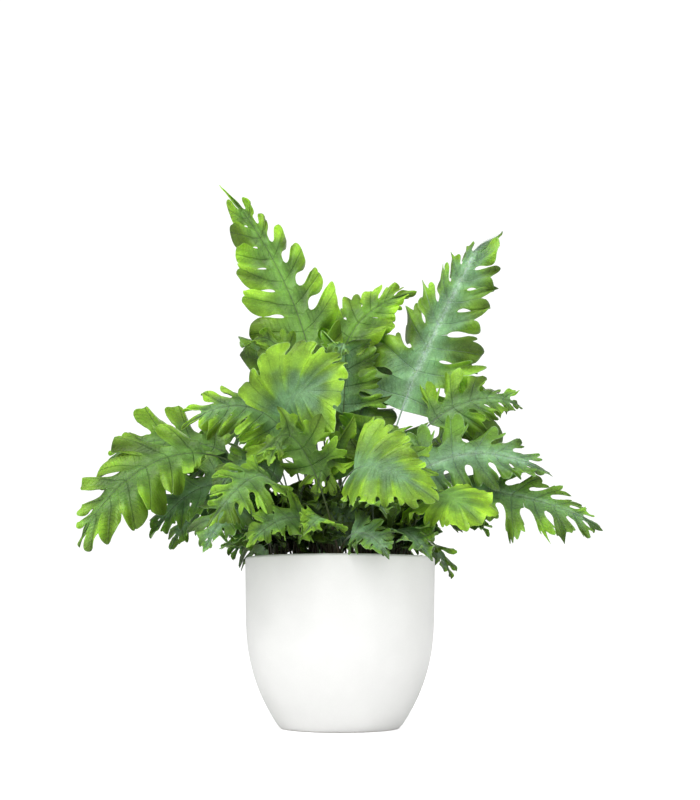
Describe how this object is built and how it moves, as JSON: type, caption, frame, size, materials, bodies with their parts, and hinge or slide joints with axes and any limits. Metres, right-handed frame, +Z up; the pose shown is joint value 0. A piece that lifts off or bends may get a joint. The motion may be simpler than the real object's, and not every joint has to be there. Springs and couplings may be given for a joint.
{
  "type": "potted blue star fern",
  "caption": "Crested blue star fern with wavy, deeply lobed blue-green fronds, growing from a creeping rhizome in a plain white rounded ceramic pot.",
  "frame": {"origin": "centre of the pot's flat foot, on the surface that it stands on", "axes": "+Z up, -Y towards the viewer of the picture, +X to that viewer's right"},
  "size_m": [0.3737, 0.2438, 0.4263],
  "materials": {
    "glaze": "satin",
    "soil": "matte",
    "rhizome": "matte",
    "frond_green": "satin",
    "frond_blue": "satin"
  },
  "bodies": {
    "root": {"frond_back_high_1": "frond_green", "frond_back_high_2": "frond_blue", "frond_back_high_3": "frond_blue", "frond_back_high_4": "frond_blue", "frond_back_low_1": "frond_green", "frond_back_low_2": "frond_green", "frond_back_low_3": "frond_blue", "frond_back_low_4": "frond_blue", "frond_back_low_5": "frond_blue", "frond_back_mid_1": "frond_green", "frond_back_mid_2": "frond_green", "frond_back_mid_3": "frond_blue", "frond_back_mid_4": "frond_blue", "frond_back_mid_5": "frond_blue", "frond_back_rim_1": "frond_green", "frond_back_rim_2": "frond_green", "frond_back_rim_3": "frond_blue", "frond_back_rim_4": "frond_blue", "frond_back_rim_5": "frond_blue", "frond_dark_centre": "frond_blue", "frond_fan_left": "frond_green", "frond_fan_right": "frond_green", "frond_far_left": "frond_green", "frond_far_right": "frond_blue", "frond_front_mid_1": "frond_green", "frond_front_mid_2": "frond_green", "frond_front_rim_1": "frond_blue", "frond_front_rim_2": "frond_blue", "frond_front_rim_3": "frond_blue", "frond_front_rim_4": "frond_green", "frond_high_centre": "frond_blue", "frond_high_left": "frond_green", "frond_left_dark": "frond_blue", "frond_left_front": "frond_green", "frond_left_low": "frond_blue", "frond_left_rear": "frond_green", "frond_mid_back": "frond_green", "frond_mid_centre": "frond_blue", "frond_mid_left": "frond_blue", "frond_right_blue": "frond_blue", "frond_right_front": "frond_green", "frond_right_low": "frond_blue", "frond_right_mid": "frond_green", "frond_rim_centre": "frond_blue", "frond_rim_centre_right": "frond_blue", "frond_rim_far_left": "frond_blue", "frond_rim_far_right": "frond_blue", "frond_rim_left": "frond_blue", "frond_rim_mid_left": "frond_blue", "frond_rim_right": "frond_blue", "frond_tall_left": "frond_green", "frond_tall_right": "frond_blue", "frond_upper_left": "frond_green", "pot": "glaze", "rhizome": "rhizome", "soil": "soil"}
  },
  "joints": []
}
